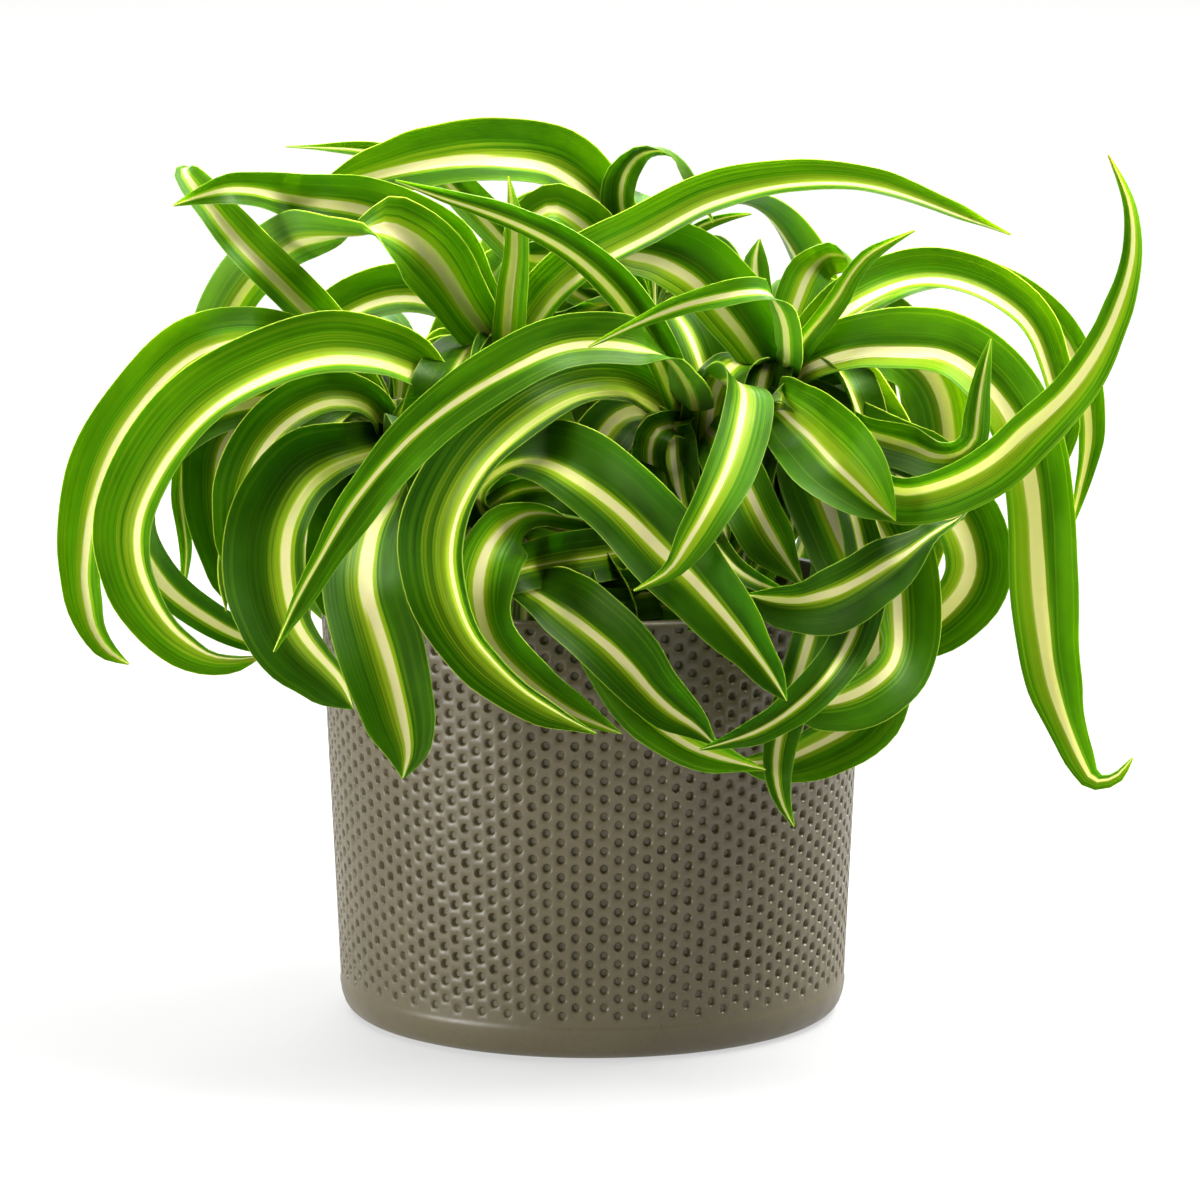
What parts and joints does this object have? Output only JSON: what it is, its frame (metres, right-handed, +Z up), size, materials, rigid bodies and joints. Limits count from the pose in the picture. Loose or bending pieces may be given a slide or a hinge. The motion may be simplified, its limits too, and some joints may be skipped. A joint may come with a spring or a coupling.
{
  "type": "potted spider plant",
  "caption": "Curly variegated spider plant whose arching, twisting striped leaves spill over the rim of a round taupe ceramic pot with dimpled sides.",
  "frame": {"origin": "centre of the pot's flat underside, where it rests", "axes": "+Z up along the pot's axis, -Y towards the viewer of the picture, +X to the viewer's right"},
  "size_m": [0.2552, 0.1948, 0.215],
  "materials": {
    "pot_ceramic": "satin",
    "potting_mix": "matte",
    "leaf": "satin"
  },
  "bodies": {
    "root": {"pot": "pot_ceramic", "potting_mix": "potting_mix", "left_crown": "leaf", "middle_crown": "leaf", "right_crown": "leaf", "rear_crown": "leaf", "outer_left_crown": "leaf", "low_crown": "leaf"}
  },
  "joints": []
}
